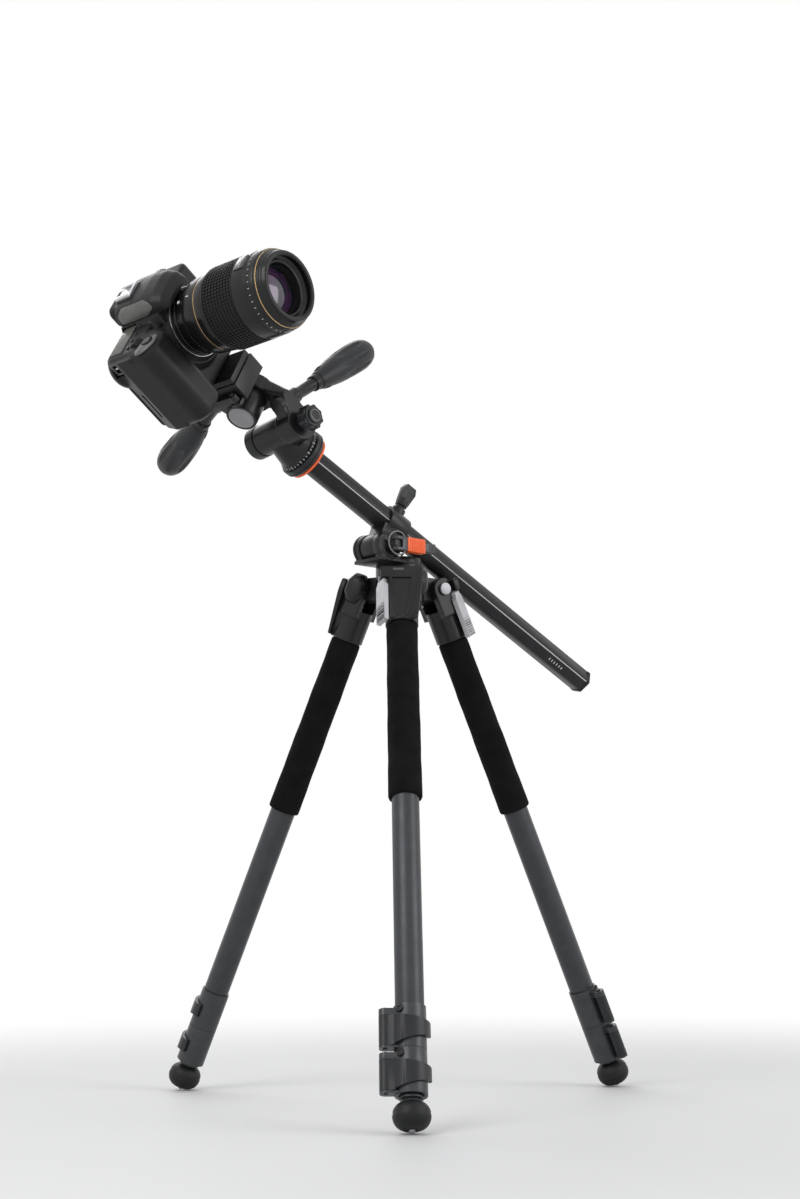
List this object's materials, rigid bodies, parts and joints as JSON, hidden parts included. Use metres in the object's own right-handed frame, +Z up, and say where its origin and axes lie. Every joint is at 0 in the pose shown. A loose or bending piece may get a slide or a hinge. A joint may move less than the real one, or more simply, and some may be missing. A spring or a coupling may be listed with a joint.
{
  "type": "digital camera on tripod",
  "caption": "Reflex camera with a close-up lens on a three-way pan head and a folding tripod with a swing-over centre column.",
  "frame": {"origin": "on the floor, directly below the tripod axis, in the plane of the three rubber feet", "axes": "+Z up along the tripod axis; the front leg points along -Y; the other two legs point 30 degrees past +X and -X towards +Y"},
  "size_m": [0.5261, 0.4811, 0.8035],
  "materials": {
    "casting": "dark grey painted die casting, fine satin texture",
    "anodised": "charcoal anodised tube, satin",
    "column_black": "near-black anodised six-sided tube",
    "foam": "closed-cell foam, fine grain, very matt",
    "lock_grey": "light grey metal collar",
    "lever_dark": "dark grey moulded lever",
    "rubber": "matt black rubber",
    "silver": "satin silver",
    "steel": "machined metal pin",
    "orange": "bright orange anodised ring",
    "handle": "grey-black soft-touch handle",
    "camera_black": "black camera shell, fine texture",
    "camera_rear": "black rear cover",
    "lens_black": "black lens barrel, satin",
    "lens_rubber": "ribbed black focus rubber",
    "shoe_metal": "bright metal accessory shoe",
    "glass": "coated front element",
    "button_black": "glossy black button"
  },
  "bodies": {
    "canopy": {"canopy": "casting", "hinge_pins": "steel"},
    "front_leg": {"front_shoulder": "casting", "front_upper_tube": "anodised", "front_foam_grip": "foam", "front_upper_lock": "lock_grey"},
    "front_angle_lock": {"front_angle_lock": "silver"},
    "front_upper_lever": {"front_upper_lever": "lever_dark"},
    "front_middle_section": {"front_middle_tube": "anodised", "front_lower_lock": "lock_grey"},
    "front_lower_lever": {"front_lower_lever": "lever_dark"},
    "front_lower_section": {"front_lower_tube": "anodised", "front_foot": "rubber"},
    "right_leg": {"right_shoulder": "casting", "right_upper_tube": "anodised", "right_foam_grip": "foam", "right_upper_lock": "lock_grey"},
    "right_angle_lock": {"right_angle_lock": "silver"},
    "right_upper_lever": {"right_upper_lever": "lever_dark"},
    "right_middle_section": {"right_middle_tube": "anodised", "right_lower_lock": "lock_grey"},
    "right_lower_lever": {"right_lower_lever": "lever_dark"},
    "right_lower_section": {"right_lower_tube": "anodised", "right_foot": "rubber"},
    "left_leg": {"left_shoulder": "casting", "left_upper_tube": "anodised", "left_foam_grip": "foam", "left_upper_lock": "lock_grey"},
    "left_angle_lock": {"left_angle_lock": "silver"},
    "left_upper_lever": {"left_upper_lever": "lever_dark"},
    "left_middle_section": {"left_middle_tube": "anodised", "left_lower_lock": "lock_grey"},
    "left_lower_lever": {"left_lower_lever": "lever_dark"},
    "left_lower_section": {"left_lower_tube": "anodised", "left_foot": "rubber"},
    "turret": {"turret": "casting"},
    "tilt_lever": {"tilt_lever": "silver"},
    "column_collar": {"column_collar": "casting"},
    "collar_knob": {"collar_knob": "rubber"},
    "column": {"column": "column_black", "column_ring": "orange", "pan_base": "casting"},
    "pan_body": {"pan_body": "casting"},
    "roll_knob": {"roll_knob": "handle"},
    "roll_yoke": {"roll_yoke": "casting"},
    "roll_handle": {"roll_handle": "handle"},
    "tilt_clamp": {"tilt_clamp": "casting", "tilt_cap": "silver"},
    "tilt_handle": {"tilt_handle": "handle"},
    "plate_lever": {"plate_lever": "lever_dark"},
    "camera": {"quick_plate": "rubber", "camera_body": "camera_black", "rear_cover": "camera_rear", "prism_housing": "camera_black", "hot_shoe": "shoe_metal", "lens_barrel": "lens_black", "front_glass": "glass"},
    "shutter_button": {"shutter_button": "button_black"},
    "mode_dial": {"mode_dial": "button_black"},
    "focus_ring": {"focus_ring": "lens_rubber"}
  },
  "joints": [
    {"name": "front_leg_hinge", "type": "hinge", "parent": "canopy", "child": "front_leg", "pos_m": [0, -0.042, 0.51597], "axis": [-1, 0, 0], "range_deg": [-23.8, 26.2]},
    {"name": "front_angle_lock_flip", "type": "hinge", "parent": "front_leg", "child": "front_angle_lock", "pos_m": [-0.01957, -0.05593, 0.51239], "axis": [-0.5, 0.7924, -0.3495], "range_deg": [0, 35]},
    {"name": "front_upper_lever_flip", "type": "hinge", "parent": "front_leg", "child": "front_upper_lever", "pos_m": [-0.022, -0.23714, 0.08344], "axis": [0, -0.4035, -0.915], "range_deg": [0, 100]},
    {"name": "front_middle_slide", "type": "slide", "parent": "front_leg", "child": "front_middle_section", "axis": [0, -0.4035, -0.915], "range_m": [0, 0.32]},
    {"name": "front_lower_lever_flip", "type": "hinge", "parent": "front_middle_section", "child": "front_lower_lever", "pos_m": [-0.022, -0.2532, 0.04702], "axis": [0, -0.4035, -0.915], "range_deg": [0, 100]},
    {"name": "front_lower_slide", "type": "slide", "parent": "front_middle_section", "child": "front_lower_section", "axis": [0, -0.4035, -0.915], "range_m": [0, 0.32]},
    {"name": "right_leg_hinge", "type": "hinge", "parent": "canopy", "child": "right_leg", "pos_m": [0.03637, 0.021, 0.51597], "axis": [0.5, -0.866, 0], "range_deg": [-23.8, 26.2]},
    {"name": "right_angle_lock_flip", "type": "hinge", "parent": "right_leg", "child": "right_angle_lock", "pos_m": [0.05822, 0.01102, 0.51239], "axis": [-0.4362, -0.8292, -0.3495], "range_deg": [0, 35]},
    {"name": "right_upper_lever_flip", "type": "hinge", "parent": "right_leg", "child": "right_upper_lever", "pos_m": [0.21637, 0.09952, 0.08344], "axis": [0.3495, 0.2018, -0.915], "range_deg": [0, 100]},
    {"name": "right_middle_slide", "type": "slide", "parent": "right_leg", "child": "right_middle_section", "axis": [0.3495, 0.2018, -0.915], "range_m": [0, 0.32]},
    {"name": "right_lower_lever_flip", "type": "hinge", "parent": "right_middle_section", "child": "right_lower_lever", "pos_m": [0.23028, 0.10755, 0.04702], "axis": [0.3495, 0.2018, -0.915], "range_deg": [0, 100]},
    {"name": "right_lower_slide", "type": "slide", "parent": "right_middle_section", "child": "right_lower_section", "axis": [0.3495, 0.2018, -0.915], "range_m": [0, 0.32]},
    {"name": "left_leg_hinge", "type": "hinge", "parent": "canopy", "child": "left_leg", "pos_m": [-0.03637, 0.021, 0.51597], "axis": [0.5, 0.866, 0], "range_deg": [-23.8, 26.2]},
    {"name": "left_angle_lock_flip", "type": "hinge", "parent": "left_leg", "child": "left_angle_lock", "pos_m": [-0.03865, 0.04491, 0.51239], "axis": [0.9362, 0.0368, -0.3495], "range_deg": [0, 35]},
    {"name": "left_upper_lever_flip", "type": "hinge", "parent": "left_leg", "child": "left_upper_lever", "pos_m": [-0.19437, 0.13762, 0.08344], "axis": [-0.3495, 0.2018, -0.915], "range_deg": [0, 100]},
    {"name": "left_middle_slide", "type": "slide", "parent": "left_leg", "child": "left_middle_section", "axis": [-0.3495, 0.2018, -0.915], "range_m": [0, 0.32]},
    {"name": "left_lower_lever_flip", "type": "hinge", "parent": "left_middle_section", "child": "left_lower_lever", "pos_m": [-0.20828, 0.14565, 0.04702], "axis": [-0.3495, 0.2018, -0.915], "range_deg": [0, 100]},
    {"name": "left_lower_slide", "type": "slide", "parent": "left_middle_section", "child": "left_lower_section", "axis": [-0.3495, 0.2018, -0.915], "range_m": [0, 0.32]},
    {"name": "turret_swivel", "type": "hinge", "parent": "canopy", "child": "turret", "pos_m": [0, 0, 0.53797], "axis": [0, 0, 1], "continuous": true},
    {"name": "tilt_lever_flip", "type": "hinge", "parent": "turret", "child": "tilt_lever", "pos_m": [-0.00505, -0.04675, 0.55447], "axis": [0, 0, -1], "range_deg": [0, 100]},
    {"name": "column_tilt", "type": "hinge", "parent": "turret", "child": "column_collar", "pos_m": [-0.02586, -0.0205, 0.55447], "axis": [0.6211, -0.7837, 0], "range_deg": [0, 30]},
    {"name": "collar_knob_turn", "type": "hinge", "parent": "column_collar", "child": "collar_knob", "pos_m": [-0.00975, -0.00773, 0.58089], "axis": [0.4424, 0.173, 0.88], "continuous": true},
    {"name": "column_slide", "type": "slide", "parent": "column_collar", "child": "column", "axis": [-0.6964, -0.552, 0.4586], "range_m": [-0.09, 0.24]},
    {"name": "head_pan", "type": "hinge", "parent": "column", "child": "pan_body", "pos_m": [-0.10154, -0.08048, 0.64134], "axis": [-0.6964, -0.552, 0.4586], "continuous": true},
    {"name": "roll_knob_turn", "type": "hinge", "parent": "pan_body", "child": "roll_knob", "pos_m": [-0.0931, -0.13049, 0.66198], "axis": [0.6702, -0.7288, 0.1405], "continuous": true},
    {"name": "head_roll", "type": "hinge", "parent": "pan_body", "child": "roll_yoke", "pos_m": [-0.10383, -0.11883, 0.65973], "axis": [0.6702, -0.7288, 0.1405], "range_deg": [-20, 20]},
    {"name": "roll_handle_twist", "type": "hinge", "parent": "roll_yoke", "child": "roll_handle", "pos_m": [-0.09381, -0.10139, 0.7024], "axis": [0.557, 0.619, 0.5537], "continuous": true},
    {"name": "head_tilt", "type": "hinge", "parent": "roll_yoke", "child": "tilt_clamp", "pos_m": [-0.15254, -0.12023, 0.67842], "axis": [0.3093, 0.4464, 0.8397], "range_deg": [-12, 30]},
    {"name": "tilt_handle_twist", "type": "hinge", "parent": "tilt_clamp", "child": "tilt_handle", "pos_m": [-0.19352, -0.09656, 0.67379], "axis": [-0.4568, 0.8442, -0.2805], "continuous": true},
    {"name": "plate_lever_turn", "type": "hinge", "parent": "tilt_clamp", "child": "plate_lever", "pos_m": [-0.16405, -0.16474, 0.67476], "axis": [-0.5761, -0.6145, 0.539], "range_deg": [0, 60]},
    {"name": "camera_lift", "type": "slide", "parent": "tilt_clamp", "child": "camera", "axis": [-0.5761, -0.6145, 0.539], "range_m": [0, 0.04]},
    {"name": "shutter_press", "type": "slide", "parent": "camera", "child": "shutter_button", "axis": [0.5761, 0.6145, -0.539], "range_m": [0, 0.0015], "stiffness_N_per_m": 400, "springref_m": -0.0008},
    {"name": "mode_dial_turn", "type": "hinge", "parent": "camera", "child": "mode_dial", "pos_m": [-0.23215, -0.18176, 0.78572], "axis": [-0.5761, -0.6145, 0.539], "continuous": true},
    {"name": "focus_turn", "type": "hinge", "parent": "camera", "child": "focus_ring", "pos_m": [-0.15142, -0.24073, 0.74207], "axis": [0.7565, -0.6505, 0.0671], "range_deg": [-135, 135]}
  ]
}
